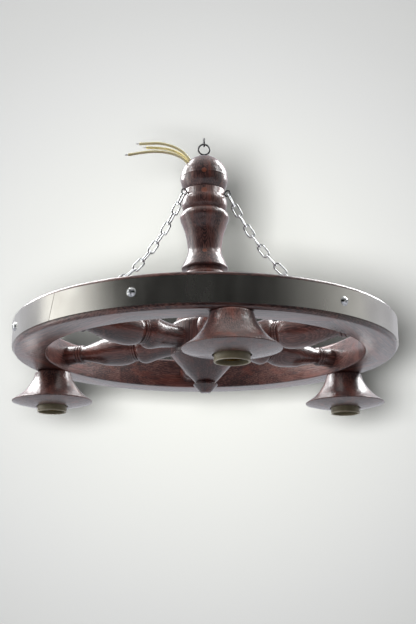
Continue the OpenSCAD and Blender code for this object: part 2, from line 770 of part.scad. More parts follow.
hang_link();
tie_rod();
rod_washer();
rod_nut();
ball();
collar();
column();
pedestal();
hub();
cone_cap();
finial_knob();
felloe(1);  // felloe_1
felloe(2);  // felloe_2
felloe(3);  // felloe_3
felloe(4);  // felloe_4
felloe(5);  // felloe_5
felloe(6);  // felloe_6
tyre();
tyre_screws();
spoke(1);  // spoke_1
spoke(2);  // spoke_2
spoke(3);  // spoke_3
spoke(4);  // spoke_4
spoke(5);  // spoke_5
spoke(6);  // spoke_6
lamp_cup(1);  // lamp_cup_1
lamp_cup(2);  // lamp_cup_2
lamp_cup(3);  // lamp_cup_3
nipple(1);  // nipple_1
nipple(2);  // nipple_2
nipple(3);  // nipple_3
holder_cap(1);  // holder_cap_1
holder_cap(2);  // holder_cap_2
holder_cap(3);  // holder_cap_3
holder_insert(1);  // holder_insert_1
holder_insert(2);  // holder_insert_2
holder_insert(3);  // holder_insert_3
holder_skirt(1);  // holder_skirt_1
holder_skirt(2);  // holder_skirt_2
holder_skirt(3);  // holder_skirt_3
thread_shell(1);  // thread_shell_1
thread_shell(2);  // thread_shell_2
thread_shell(3);  // thread_shell_3
contact_spring(1);  // contact_spring_1
contact_spring(2);  // contact_spring_2
contact_spring(3);  // contact_spring_3
lamp_lead(1);  // lamp_lead_1
lamp_lead(2);  // lamp_lead_2
lamp_lead(3);  // lamp_lead_3
junction_block();
inner_wires();
supply_wire(1);  // supply_wire_1
supply_wire(2);  // supply_wire_2
supply_wire(3);  // supply_wire_3
collar_eyes();
rim_eyes();
chain(1);  // chain_1
chain(2);  // chain_2
chain(3);  // chain_3
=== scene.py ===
import math

import bmesh
import bpy
from mathutils import Matrix, Vector

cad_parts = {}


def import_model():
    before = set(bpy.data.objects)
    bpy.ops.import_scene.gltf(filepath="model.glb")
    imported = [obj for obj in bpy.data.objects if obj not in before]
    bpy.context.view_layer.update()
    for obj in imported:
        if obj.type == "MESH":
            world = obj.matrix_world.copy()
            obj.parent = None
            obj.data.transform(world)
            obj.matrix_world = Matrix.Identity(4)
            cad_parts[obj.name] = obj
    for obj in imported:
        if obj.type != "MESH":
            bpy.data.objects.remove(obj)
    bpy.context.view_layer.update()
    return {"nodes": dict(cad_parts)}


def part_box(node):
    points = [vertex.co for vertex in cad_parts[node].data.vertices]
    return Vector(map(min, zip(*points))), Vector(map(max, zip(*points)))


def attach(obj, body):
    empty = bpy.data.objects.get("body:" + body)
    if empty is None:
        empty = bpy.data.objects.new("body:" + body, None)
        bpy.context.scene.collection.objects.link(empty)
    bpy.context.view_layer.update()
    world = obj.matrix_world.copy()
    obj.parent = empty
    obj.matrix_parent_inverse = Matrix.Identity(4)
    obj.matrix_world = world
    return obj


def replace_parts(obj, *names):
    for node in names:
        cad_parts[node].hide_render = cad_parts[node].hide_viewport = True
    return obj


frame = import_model()
nodes = frame["nodes"]
MM = 0.001

# Heights and radii of the lamp, in millimetres, as in the part's source
tyre_low, tyre_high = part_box("tyre")
wheel_z = (tyre_low.z + tyre_high.z) / 2 / MM
ball_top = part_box("ball")[1].z / MM
ball_r, ball_seat_r = 32.5, 26.0
ball_mid = ball_top - ball_r
ball_cut = math.sqrt(ball_r ** 2 - ball_seat_r ** 2)
collar_h, column_h, pedestal_h = 28.5, 83.0, 75.0
collar_z = ball_mid - ball_cut - collar_h
column_z = collar_z - column_h
pedestal_z = column_z - pedestal_h
hub_r, hub_up, hub_down = 45.25, 24.0, 18.2
cap_h, cap_tip_r = 37.3, 12.9
knob_h, knob_r = 13.0, 15.9
cap_z = wheel_z - hub_down - cap_h
knob_z = cap_z - knob_h
tyre_in, tyre_h = 248.0, 31.0
rim_in, rim_up, rim_down = 207.0, 20.5, 21.5
cup_at, cup_h, cup_top_r, cup_disc_r, cup_lip, cup_belly = 230.5, 41.5, 24.6, 55.3, 1.3, 7.0
holder_r, holder_wall, holder_end, holder_cap_end = 20.0, 2.0, -77.5, -47.0

# Degrees from one spoke to the next, and how far the third one sits back from its even place
spoke_step, third_back = 60, 6


def spoke_turn(n):
    """The direction of spoke n, in degrees from the front towards the right."""
    return (n - 1) * spoke_step - (third_back if n == 3 else 0)


# Camera ---------------------------------------------------------------------------------

# Fitted to the photograph: the camera's distance in front of the wheel's middle and its depth
# below it in millimetres, its angles in degrees, and its focal length and the picture's height
# in pixels
lamp_turn = -7.2                              # degrees by which the lamp is seen turned
camera_away, camera_below = 1299.25, 308.75
camera_pitch, camera_yaw, camera_roll = 15.04, 0.17, -0.42
focal_px, picture_h_px = 1013.5, 624
SWING = Matrix.Rotation(math.radians(lamp_turn), 4, "Z")


def make_camera():
    """The pinhole camera that was fitted to the photograph, in the part's frame."""
    pitch, yaw, roll = (math.radians(a) for a in (camera_pitch, camera_yaw, camera_roll))
    ahead = Vector((math.sin(yaw) * math.cos(pitch), math.cos(yaw) * math.cos(pitch), math.sin(pitch)))
    side = Vector((math.cos(yaw), -math.sin(yaw), 0))
    up = side.cross(ahead)
    side, up = side * math.cos(roll) + up * math.sin(roll), up * math.cos(roll) - side * math.sin(roll)
    place = Matrix((side, up, -ahead)).transposed().to_4x4()
    place.translation = Vector((0, -camera_away, wheel_z - camera_below)) * MM
    data = bpy.data.cameras.new("camera")
    data.sensor_width = 36
    data.lens = focal_px / picture_h_px * data.sensor_width
    data.clip_start, data.clip_end = 0.05, 30
    camera = bpy.data.objects.new("camera", data)
    camera.matrix_world = SWING @ place
    bpy.context.scene.collection.objects.link(camera)
    bpy.context.scene.camera = camera
    return camera


camera = make_camera()


# Materials ------------------------------------------------------------------------------

def from_hex(code):
    """An sRGB hex colour as linear RGBA."""
    rgb = [int(code[i:i + 2], 16) / 255 for i in (1, 3, 5)]
    return [c / 12.92 if c <= 0.04045 else ((c + 0.055) / 1.055) ** 2.4 for c in rgb] + [1]


def add(tree, kind, inputs=None, stops=None, **settings):
    """Adds a node with its settings, its values and its links. An input given as a node takes
    that node's first output in use. Stops are a colour ramp's (place, hex colour) pairs."""
    node = tree.nodes.new(kind)
    for name, value in settings.items():
        setattr(node, name, value)
    for name, value in (inputs or {}).items():
        if isinstance(value, bpy.types.Node):
            value = next(socket for socket in value.outputs if socket.enabled)
        if isinstance(value, bpy.types.NodeSocket):
            tree.links.new(value, node.inputs[name])
        else:
            node.inputs[name].default_value = value
    if stops:
        elements = node.color_ramp.elements
        elements.remove(elements[0])
        elements[0].position, elements[0].color = stops[0][0], from_hex(stops[0][1])
        for place, code in stops[1:]:
            elements.new(place).color = from_hex(code)
    return node


def begin(name):
    """A new material, its tree and its place on the object in millimetres."""
    material = bpy.data.materials.new(name)
    material.use_nodes = True
    tree = material.node_tree
    tree.nodes.clear()
    place = add(tree, "ShaderNodeTexCoord").outputs["Object"]
    place = add(tree, "ShaderNodeMapping", {"Vector": place, "Scale": (1 / MM, 1 / MM, 1 / MM)})
    return material, tree, place


def mahogany_stained_pine(name, pith, ring_mm=1.6, ring_tone=0.16, grain_turn=(0, 0, 0), pale=0.0, painted_glints=(),
                          brushed=0.34):
    """Turned softwood under mahogany stain and brushed gloss varnish. The eye sees fine growth
    rings as nested arches where the turning cuts across them, dark pores along the grain, and a
    shine that the grain breaks into a mottled haze. Orange spots of painted reflection, given as
    (x, y, z, size), stand for reddish glints of light. The grain runs along Z before grain_turn,
    with its pith at (x, y), and ring_tone is how strongly the rings show. The value pale lightens
    the stain, and brushed is how strongly the varnish waves."""
    material, tree, place = begin(name)
    p = add(tree, "ShaderNodeMapping", {"Vector": place, "Rotation": grain_turn})
    # The trunk wandered by a few millimetres over a span of about 60 mm
    bent = add(tree, "ShaderNodeTexNoise", {"Vector": p, "Scale": 0.016, "Detail": 2.0, "Roughness": 0.5})
    wander = add(tree, "ShaderNodeVectorMath", {0: bent.outputs["Color"], 1: (0.5, 0.5, 0.5)},
                 operation="SUBTRACT")
    wander = add(tree, "ShaderNodeVectorMath", {0: wander, "Scale": 5.0}, operation="SCALE")
    q = add(tree, "ShaderNodeVectorMath", {0: p, 1: wander}, operation="ADD")
    q = add(tree, "ShaderNodeVectorMath", {0: q, 1: (pith[0], pith[1], 0)}, operation="SUBTRACT")
    flat = add(tree, "ShaderNodeVectorMath", {0: q, 1: (1, 1, 0)}, operation="MULTIPLY")
    radius = add(tree, "ShaderNodeVectorMath", {0: flat}, operation="LENGTH").outputs["Value"]
    turns = add(tree, "ShaderNodeMath", {0: radius, 1: ring_mm}, operation="DIVIDE")
    ring = add(tree, "ShaderNodeMath", {0: turns}, operation="FRACT")
    # Pores are about 0.3 mm wide and 15 mm long, drawn twice as coarse so that they show
    along = add(tree, "ShaderNodeMapping", {"Vector": p, "Scale": (1.0, 1.0, 0.05)})
    pores = add(tree, "ShaderNodeTexNoise", {"Vector": along, "Scale": 0.9, "Detail": 4.0, "Roughness": 0.65})
    # The stain took unevenly over patches of about 15 mm, drawn out along the grain
    drawn = add(tree, "ShaderNodeMapping", {"Vector": p, "Scale": (1.0, 1.0, 0.3)})
    patch = add(tree, "ShaderNodeTexNoise", {"Vector": drawn, "Scale": 0.06, "Detail": 3.0, "Roughness": 0.55,
                                             "Distortion": 0.6})
    # Each blank took the stain a little differently
    blank = add(tree, "ShaderNodeObjectInfo").outputs["Random"]
    tone = add(tree, "ShaderNodeMath", {0: ring, 1: ring_tone, 2: pores}, operation="MULTIPLY_ADD")
    tone = add(tree, "ShaderNodeMath", {0: patch, 1: 0.45, 2: tone}, operation="MULTIPLY_ADD")
    tone = add(tree, "ShaderNodeMath", {0: blank, 1: 0.2, 2: tone}, operation="MULTIPLY_ADD")
    tone = add(tree, "ShaderNodeMath", {0: tone, 1: 0.8, 2: pale}, operation="MULTIPLY_ADD")
    stain = add(tree, "ShaderNodeValToRGB", {"Fac": tone}, [
        (0.44, "#110809"), (0.6, "#221112"), (0.73, "#422525"), (0.88, "#805850")])
    # Where it lies thin, the wood shows through orange
    thin = add(tree, "ShaderNodeTexNoise", {"Vector": along, "Scale": 0.06, "Detail": 3.0, "Roughness": 0.6})
    thin = add(tree, "ShaderNodeMapRange", {"Value": thin, "From Min": 0.52, "From Max": 0.7, "To Max": 0.42})
    colour = add(tree, "ShaderNodeMix", {"Factor": thin, "A": stain, "B": from_hex("#9a4a34")},
                 data_type="RGBA")
    # Painted glints: orange spots painted into the colour where reddish glints of reflected light show
    for x, y, z, size in painted_glints:
        away = add(tree, "ShaderNodeVectorMath", {0: p, 1: (x, y, z)}, operation="DISTANCE").outputs["Value"]
        away = add(tree, "ShaderNodeMath", {0: away, 1: size}, operation="DIVIDE")
        glint_tint = add(tree, "ShaderNodeValToRGB", {"Fac": away}, [
            (0.0, "#3c1f19"), (0.35, "#a35638"), (0.6, "#7a3d2b"), (0.9, "#9c5a42")])
        edge = add(tree, "ShaderNodeMapRange", {"Value": away, "From Min": 0.8, "From Max": 1.1,
                                                "To Min": 0.85, "To Max": 0.0})
        colour = add(tree, "ShaderNodeMix", {"Factor": edge, "A": colour, "B": glint_tint}, data_type="RGBA")
    # The brush left waves of about 5 mm in the varnish, and the pores show through it
    waves = add(tree, "ShaderNodeTexNoise", {"Vector": p, "Scale": 0.2, "Detail": 2.0, "Roughness": 0.5})
    height = add(tree, "ShaderNodeMath", {0: pores, 1: 0.35, 2: waves}, operation="MULTIPLY_ADD")
    bump = add(tree, "ShaderNodeBump", {"Height": height, "Strength": brushed, "Distance": 0.0009})
    shader = add(tree, "ShaderNodeBsdfPrincipled", {
        "Base Color": colour, "Roughness": 0.45, "IOR": 1.5, "Normal": bump,
        "Coat Weight": 1.0, "Coat Roughness": 0.08, "Coat IOR": 1.5, "Coat Normal": bump})
    add(tree, "ShaderNodeOutputMaterial", {"Surface": shader})
    return material


def rolled_steel_strip():
    """Bare mild steel strip, cold rolled and bent round the rim. The eye sees a grey that
    clouds over a hand's width, and a soft reflection that fine lines round the tyre break up
    and that is sharper on some stretches than on others."""
    material, tree, p = begin("rolled_steel_strip")
    # Rolling lines run round the tyre, about 0.4 mm apart in height
    lines = add(tree, "ShaderNodeMapping", {"Vector": p, "Scale": (0.02, 0.02, 2.4)})
    rolled = add(tree, "ShaderNodeTexNoise", {"Vector": lines, "Scale": 1.0, "Detail": 3.0})
    clouds = add(tree, "ShaderNodeTexNoise", {"Vector": p, "Scale": 0.012, "Detail": 2.0, "Roughness": 0.5})
    colour = add(tree, "ShaderNodeValToRGB", {"Fac": clouds}, [(0.3, "#b6b4ae"), (0.7, "#d8d7d1")])
    bump = add(tree, "ShaderNodeBump", {"Height": rolled, "Strength": 0.1, "Distance": 0.0002})
    # Rollers and rust proofing left stains across the strip, every 30 mm or so
    across = add(tree, "ShaderNodeMapping", {"Vector": p, "Scale": (1.0, 1.0, 0.3)})
    stains = add(tree, "ShaderNodeTexNoise", {"Vector": across, "Scale": 0.035, "Detail": 4.0,
                                              "Roughness": 0.6})
    rough = add(tree, "ShaderNodeMapRange", {"Value": stains, "From Min": 0.35, "From Max": 0.65,
                                             "To Min": 0.21, "To Max": 0.28})
    shader = add(tree, "ShaderNodeBsdfPrincipled", {"Base Color": colour, "Metallic": 1.0, "Roughness": rough,
                                                    "Normal": bump})
    add(tree, "ShaderNodeOutputMaterial", {"Surface": shader})
    return material


def plated_metal(name, dark, light, rough):
    """Wire, screws or pressings. The eye sees plating that clouds over a few millimetres, with
    a broken shine."""
    material, tree, p = begin(name)
    clouds = add(tree, "ShaderNodeTexNoise", {"Vector": p, "Scale": 1 / 3, "Detail": 3.0})
    colour = add(tree, "ShaderNodeValToRGB", {"Fac": clouds}, [(0.35, dark), (0.65, light)])
    bump = add(tree, "ShaderNodeBump", {"Height": clouds, "Strength": 0.15, "Distance": 0.0003})
    shader = add(tree, "ShaderNodeBsdfPrincipled", {"Base Color": colour, "Metallic": 1.0, "Roughness": rough,
                                                    "Normal": bump})
    add(tree, "ShaderNodeOutputMaterial", {"Surface": shader})
    return material


def moulded_insulator(name, deep, pale, rough, ior):
    """A moulded, fired or extruded insulator. The eye sees one colour with faint clouding and
    handling dirt, and a satin surface."""
    material, tree, p = begin(name)
    # Clouds of about 10 mm
    cloud = add(tree, "ShaderNodeTexNoise", {"Vector": p, "Scale": 0.1, "Detail": 4.0})
    # The mould's fine texture, about 0.7 mm
    fine = add(tree, "ShaderNodeTexNoise", {"Vector": p, "Scale": 1.5, "Detail": 2.0})
    colour = add(tree, "ShaderNodeValToRGB", {"Fac": cloud}, [(0.3, deep), (0.7, pale)])
    bump = add(tree, "ShaderNodeBump", {"Height": fine, "Strength": 0.1, "Distance": 0.0002})
    shader = add(tree, "ShaderNodeBsdfPrincipled", {"Base Color": colour, "Roughness": rough, "IOR": ior,
                                                    "Normal": bump})
    add(tree, "ShaderNodeOutputMaterial", {"Surface": shader})
    return material


# The column's blanks had their pith in front of the axis, so the rings close into arches there.
# On the three front pieces, orange spots of painted reflection face the camera where glints show.
to_camera = SWING @ Vector((0, -1, 0))
pith_ahead = 46
stack_pith = tuple(to_camera * pith_ahead)[:2]


def front_painted_glint(r, z, size):
    """An orange spot of painted reflection, standing for a reddish glint, at radius r and height z on the side
    that faces the camera.
    """
    return tuple(to_camera * r)[:2] + (z, size)


ball_wood = mahogany_stained_pine("mahogany_stained_pine_ball", stack_pith, 0.8, 0.26,
                                  painted_glints=[front_painted_glint(ball_r, 0, 3.4)])
collar_wood = mahogany_stained_pine("mahogany_stained_pine_collar", stack_pith, 0.8, 0.26,
                                    painted_glints=[front_painted_glint(28.7, 0.72 * collar_h, 4.2)])
column_wood = mahogany_stained_pine("mahogany_stained_pine_column", stack_pith, 0.8, 0.34,
                                    painted_glints=[front_painted_glint(23.5, 0.24 * column_h, 3.0)])
bowl_wood = mahogany_stained_pine("mahogany_stained_pine_bowls", (24, -30), 1.8, brushed=0.6)
spoke_wood = mahogany_stained_pine("mahogany_stained_pine_spokes", (-20, 34))
felloe_wood = mahogany_stained_pine("mahogany_stained_pine_felloes", (150, 60), 2.4, 0.1,
                                    grain_turn=(math.pi / 2, 0, 0), pale=0.09)
strip_steel = rolled_steel_strip()
bright_zinc = plated_metal("bright_zinc_plate", "#a9acae", "#dfe1e3", 0.13)
black_oxide = plated_metal("black_oxide_wire", "#3a3a3b", "#6d6e6f", 0.34)
brass = plated_metal("pressed_brass", "#8d7340", "#cfae62", 0.3)
holder_plastic = moulded_insulator("moulded_phenolic_olive", "#968d73", "#b2a98d", 0.4, 1.55)
lip_plastic = moulded_insulator("moulded_phenolic_lip", "#cdc4a9", "#e4dcc4", 0.35, 1.55)
white_porcelain = moulded_insulator("fired_porcelain", "#cfcabd", "#e6e2d6", 0.5, 1.5)
white_flex = moulded_insulator("extruded_pvc_white", "#d8d6cf", "#e8e6e0", 0.4, 1.54)
cream_flex = moulded_insulator("extruded_pvc_cream", "#ece0aa", "#faf2cd", 0.3, 1.54)


# Shapes ---------------------------------------------------------------------------------

tiny = 1e-6                                   # millimetres: anything shorter counts as nothing


def curve_point(a, b, c, d, t):
    """The point at t, from 0 to 1, on a smooth curve from b to c that came from a and goes on to d."""
    return tuple(0.5 * (2 * q + (r - p) * t + (2 * p - 5 * q + 4 * r - s) * t * t
                        + (3 * q - p - 3 * r + s) * t ** 3) for p, q, r, s in zip(a, b, c, d))


def run(stations, steps=10):
    """A smooth line through stations, as the part's source draws it, with finer steps."""
    last = len(stations) - 1
    line = []
    for i in range(last):
        before, after = stations[max(i - 1, 0)], stations[min(i + 2, last)]
        line += [curve_point(before, stations[i], stations[i + 1], after, k / steps) for k in range(steps)]
    return line + [tuple(stations[-1])]


def bead(r, h, start, end, steps=14):
    """A half-round bead that stands h out of radius r."""
    turns = [math.pi * k / steps for k in range(steps + 1)]
    return [(r + h * math.sin(t), start + (end - start) * (1 - math.cos(t)) / 2) for t in turns]


def eased(points, size, steps=4):
    """Rounds each corner of an outline by about size, as sanding and varnish do."""
    nearly_straight = math.radians(165)
    out = []
    for i, b in enumerate(points):
        a, c = points[i - 1], points[(i + 1) % len(points)]
        b, a, c = Vector(b), Vector(a), Vector(c)
        before, after = (a - b), (c - b)
        if before.length < tiny or after.length < tiny or before.angle(after) > nearly_straight:
            out.append(tuple(b))
            continue
        reach = min(size, before.length / 2.2, after.length / 2.2)
        p, q = b + before.normalized() * reach, b + after.normalized() * reach
        for k in range(steps + 1):
            t = k / steps
            out.append(tuple(p * (1 - t) ** 2 + b * 2 * t * (1 - t) + q * t * t))
    return out


def place_object(name, mesh, place, body, material):
    """A smooth piece that rides on a body, with edges where faces meet at over 32 degrees."""
    mesh.validate()
    for face in mesh.polygons:
        face.use_smooth = True
    mesh.set_sharp_from_angle(angle=math.radians(32))
    mesh.materials.append(material)
    piece = bpy.data.objects.new(name, mesh)
    bpy.context.scene.collection.objects.link(piece)
    piece.matrix_world = place
    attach(piece, body)
    return piece


def lathe(name, profile, place, material, sides=144, span=360.0):
    """Turns an outline of (radius, height) points about Z. Points at radius 0 close on the axis.
    A span under 360 degrees gives a closed segment."""
    bm = bmesh.new()
    whole = span >= 360
    turns = sides if whole else sides + 1
    grid = []
    for k in range(turns):
        a = math.radians(span * k / sides - (0 if whole else span / 2))
        grid.append([bm.verts.new((r * MM * math.cos(a), r * MM * math.sin(a), z * MM)) for r, z in profile])
    count = len(profile)
    for k in range(sides):
        one, two = grid[k], grid[(k + 1) % turns]
        for i in range(count):
            j = (i + 1) % count
            if profile[i][0] < tiny and profile[j][0] < tiny:
                continue
            bm.faces.new((one[i], one[j], two[j], two[i]))
    if not whole:
        bm.faces.new(grid[0])
        bm.faces.new(list(reversed(grid[-1])))
    bmesh.ops.remove_doubles(bm, verts=bm.verts, dist=1e-7)
    bmesh.ops.dissolve_degenerate(bm, dist=1e-8, edges=bm.edges)
    bmesh.ops.recalc_face_normals(bm, faces=bm.faces)
    mesh = bpy.data.meshes.new(name)
    bm.to_mesh(mesh)
    bm.free()
    piece = place_object(name, mesh, place, "lamp", material)
    return piece


def at_wheel(turn=0.0, x=0.0, z=0.0):
    """The frame of the wheel turned towards a spoke, moved out by x and up by z, in millimetres."""
    return (Matrix.Translation((0, 0, wheel_z * MM)) @ Matrix.Rotation(math.radians(turn - 90), 4, "Z")
            @ Matrix.Translation((x * MM, 0, z * MM)))


ALONG_X = Matrix.Rotation(math.pi / 2, 4, "Y")   # turns a lathe's Z to the spoke's length


def at_height(z):
    """The frame on the lamp's axis at a height in millimetres."""
    return Matrix.Translation((0, 0, z * MM))


# Free supply wires ----------------------------------------------------------------------

# Routes, as in the part's source: points are (distance to the left, height over the ball's
# middle). The wires come straight out of a bored hole that rises to the left.
wire_r, wire_rise, wire_out, wire_square = 1.9, math.radians(52), ball_r - 5.5, 3.0
exit_from, exit_r = Vector((4.2, 2.3)), 5.5
along_exit = Vector((math.cos(wire_rise), math.sin(wire_rise)))
# Each wire: its distance to the side, its place across the exit hole, and its free points
wire_routes = [
    (-2.83, 1.7, [(23.2, 29.8), (27, 34.6), (32.5, 39.2), (39, 42.9), (46.5, 45.8), (54, 47.7), (61.5, 48.6),
                  (69, 48.5), (76, 47.8), (83, 47), (90, 46.5)]),
    (0.0, -2.5, [(28.2, 28), (33.5, 31.4), (40, 34.2), (47, 36.1), (54.5, 37.2), (62, 37.5), (69.5, 37.3),
                 (77, 36.5), (84, 35.4), (91, 33.9), (98, 32.4), (105, 30.9)]),
    (2.83, 0.5, [(26.5, 31.6), (32.5, 36.6), (39.5, 40.1), (47, 42.3), (54.5, 43.5), (62, 44), (69, 44.2),
                 (75, 44.1), (80, 43.9)])]


def tube(name, points, radius, material):
    """A round wire along points in metres."""
    data = bpy.data.curves.new(name, "CURVE")
    data.dimensions = "3D"
    data.bevel_depth = radius
    data.bevel_resolution = 6
    data.use_fill_caps = True
    line = data.splines.new("POLY")
    line.points.add(len(points) - 1)
    for point, place in zip(line.points, points):
        point.co = (*place, 1)
    line.use_smooth = True
    data.materials.append(material)
    wire = bpy.data.objects.new(name, data)
    bpy.context.scene.collection.objects.link(wire)
    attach(wire, "lamp")
    return wire


def supply_wires():
    """Three stiff wires, cut off and stripped for a few millimetres at their ends."""
    bare_len, bare_r = 4.0, 0.75
    for number, (side, across, free) in enumerate(wire_routes, 1):
        start = exit_from + across * Vector((-along_exit.y, along_exit.x))
        straight = [tuple(start + t * along_exit) for t in (wire_out, wire_out + wire_square)]
        route = straight[:1] + run(straight[1:] + free, 5)
        points = [Vector((-x, side, ball_mid + z)) * MM for x, z in route]
        wire = tube(f"supply_flex_{number}", points, wire_r * MM, cream_flex)
        ahead = (points[-1] - points[-2]).normalized() * bare_len * MM
        tip = tube(f"supply_flex_{number}_bare_end", [points[-1] - ahead / 4, points[-1] + ahead],
                   bare_r * MM, bright_zinc)
        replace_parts(wire, f"supply_wire_{number}")


supply_wires()


# Column and hub -------------------------------------------------------------------------

# The profiles are outlines of (radius, height) points in millimetres, with the stations of the
# part's source. Height 0 is the piece's foot, or the middle of the ball or the wheel.

def ball_profile():
    """A ball with a fine raised line that the turner left round its middle."""
    line_h, line_w, steps = 0.35, 0.9, 90
    low = math.asin(-ball_cut / ball_r)
    angles = [low + (math.pi / 2 - low) * k / steps for k in range(steps)]
    radii = [ball_r + line_h * math.exp(-(a * ball_r / line_w) ** 2) for a in angles]
    arc = [(r * math.cos(a), r * math.sin(a)) for a, r in zip(angles, radii)]
    return [(0, -ball_cut)] + arc + [(0, ball_r)]


def drill(piece, place, radius, depth):
    """Bores a round hole in a piece from place down that frame's Z. Radius and depth are in
    millimetres."""
    mesh = bpy.data.meshes.new("drill")
    bm = bmesh.new()
    bmesh.ops.create_cone(bm, cap_ends=True, segments=48, radius1=radius * MM, radius2=radius * MM,
                          depth=2 * depth * MM)
    bm.to_mesh(mesh)
    bm.free()
    bit = bpy.data.objects.new("drill", mesh)
    bit.matrix_world = place
    bpy.context.scene.collection.objects.link(bit)
    cutter = piece.modifiers.new("bore", "BOOLEAN")
    cutter.operation, cutter.solver, cutter.object = "DIFFERENCE", "EXACT", bit
    view = bpy.context.evaluated_depsgraph_get()
    bored = bpy.data.meshes.new_from_object(piece.evaluated_get(view))
    piece.modifiers.clear()
    piece.data = bored
    bpy.data.objects.remove(bit)


def collar_profile():
    r, foot, top = 28.7, 27.3, 31.0
    return ([(0, 0)] + run([(foot, 0), (top - 1, 0.14 * collar_h), (top, 0.38 * collar_h),
                            (top - 0.8, 0.56 * collar_h), (r, 0.66 * collar_h)])
            + run([(r, collar_h - 1), (r - 0.3, collar_h - 0.3), (r - 1, collar_h)], 4) + [(0, collar_h)])


def column_profile():
    foot, waist, shoulder, neck = 31.2, 22.7, 33.3, 27.3
    swell = shoulder - waist
    h = column_h
    return ([(0, 0)] + run([(foot - 0.8, 0), (foot - 0.2, 0.3), (foot, 1)], 4)
            + run([(foot, 2), (waist + 0.78 * (foot - waist), 0.08 * h),
                   (waist + 0.42 * (foot - waist), 0.165 * h), (waist + 0.09 * (foot - waist), 0.25 * h),
                   (waist, 0.35 * h), (waist + 0.29 * swell, 0.59 * h), (waist + 0.71 * swell, 0.76 * h),
                   (shoulder, 0.875 * h), (shoulder - 1.8, 0.95 * h), (neck, h)])
            + [(0, h)])


def pedestal_profile():
    foot, waist, top, swell, h = 38.0, 22.0, 24.0, 29.0, pedestal_h
    return ([(0, 0), (foot - 0.5, 0), (foot, 0.5)]
            + run([(foot, 5), (0.6 * foot + 0.4 * waist, 0.15 * h), (waist + 2, 0.3 * h), (waist, 0.45 * h),
                   (waist + 2, 0.62 * h), (top, 0.74 * h)])
            + bead(top, swell - top, 0.77 * h, 0.95 * h) + [(top, h), (0, h)])


def hub_profile():
    edge, steps = 6, 12
    turns = [math.radians(90 * k / steps) for k in range(steps + 1)]
    arc = [(hub_r - edge + edge * math.cos(t), hub_up - edge + edge * math.sin(t)) for t in turns]
    foot = [(hub_r - 0.6, -hub_down), (hub_r - 0.2, -hub_down + 0.2), (hub_r, -hub_down + 0.6)]
    return [(0, -hub_down)] + foot + arc + [(0, hub_up)]


def cone_profile():
    return [(0, 0), (cap_tip_r - 0.5, 0), (cap_tip_r, 0.3), (hub_r - 0.4, cap_h - 2), (hub_r, cap_h - 1.4),
            (hub_r, cap_h - 0.5), (hub_r - 0.5, cap_h), (0, cap_h)]


def knob_profile():
    r, tip = knob_r, 5.5
    side = [(tip, 0.4), (tip + 1.5, 1), (r - 3, knob_h - 6), (r - 0.5, knob_h - 3.4), (r, knob_h - 2.4),
            (r - 0.4, knob_h - 1.7)]
    return ([(0, 0), (tip - 0.6, 0.2)] + run(side, 6)
            + [(r - 3, knob_h - 0.6), (r - 3, knob_h), (0, knob_h)])


def column_and_hub():
    ball = lathe("turned_ball", ball_profile(), at_height(ball_mid), ball_wood)
    mouth, bore_depth = exit_from + ball_r * along_exit, 16
    drill(ball, Matrix.Translation(Vector((-mouth.x, 0, ball_mid + mouth.y)) * MM)
          @ Matrix.Rotation(wire_rise - math.pi / 2, 4, "Y"), exit_r, bore_depth)
    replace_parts(ball, "ball")
    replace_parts(lathe("turned_collar", collar_profile(), at_height(collar_z), collar_wood), "collar")
    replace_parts(lathe("turned_column", column_profile(), at_height(column_z), column_wood), "column")
    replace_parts(lathe("turned_pedestal", pedestal_profile(), at_height(pedestal_z), column_wood),
                "pedestal")
    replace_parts(lathe("turned_hub", hub_profile(), at_height(wheel_z), bowl_wood), "hub")
    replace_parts(lathe("turned_cone_cap", cone_profile(), at_height(cap_z), bowl_wood), "cone_cap")
    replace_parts(lathe("turned_knob", knob_profile(), at_height(knob_z), bowl_wood), "finial_knob")


column_and_hub()


# Wheel ----------------------------------------------------------------------------------

def felloe_profile():
    """The rim's section, with its worn edges rounded."""
    low = (tyre_h / 2 + rim_down) / 2
    outline = [(rim_in + 1, -rim_down), (tyre_in - 2, -rim_down), (tyre_in, -low), (tyre_in, rim_up - 3),
               (tyre_in - 1, rim_up - 1), (tyre_in - 3, rim_up), (rim_in + 2, rim_up), (rim_in, rim_up - 2),
               (rim_in, -rim_down + 1)]
    return eased(outline, 1.4)


def spoke_profile():
    """A bulb, two beads, a vase, two rings and a collar. Heights are distances from the axis."""
    bulb_len, bead_w, bead_h, ring_w, collar_len = 52.0, 3.2, 1.5, 4.0, 17.0
    root, bulb, swell, neck, waist, collar_r = 14.0, 21.0, 21.0, 15.5, 10.5, 13.0
    bulb_end = hub_r + bulb_len
    swell_from = bulb_end + 2 * bead_w
    ring_from = rim_in - collar_len - 2 * ring_w
    vase = ring_from - swell_from
    return ([(0, hub_r - 3)]
            + run([(root, hub_r - 4), (root + 0.15 * (bulb - root), hub_r + 0.17 * bulb_len),
                   (root + 0.45 * (bulb - root), hub_r + 0.46 * bulb_len), (bulb, hub_r + 0.78 * bulb_len),
                   (bulb - 1.5, bulb_end - 4), (neck, bulb_end)])[1:]
            + bead(neck, bead_h, bulb_end, bulb_end + bead_w)[1:]
            + bead(neck, bead_h, bulb_end + bead_w, swell_from)[1:]
            + run([(neck, swell_from), (swell - 1.6, swell_from + 0.09 * vase),
                   (swell, swell_from + 0.27 * vase),
                   (waist + 0.81 * (swell - waist), swell_from + 0.53 * vase),
                   (waist + 0.5 * (swell - waist), swell_from + 0.69 * vase),
                   (waist + 0.17 * (swell - waist), swell_from + 0.86 * vase),
                   (waist, swell_from + 0.96 * vase), (waist, ring_from)])[1:]
            + bead(waist, collar_r - waist, ring_from, ring_from + ring_w)[1:]
            + bead(waist, collar_r - waist, ring_from + ring_w, ring_from + 2 * ring_w)[1:]
            + run([(waist, ring_from + 2 * ring_w), (collar_r - 1, ring_from + 2 * ring_w + 2),
                   (collar_r, rim_in - 0.4 * collar_len)])[1:]
            + [(collar_r, rim_in + 2), (0, rim_in + 2)])


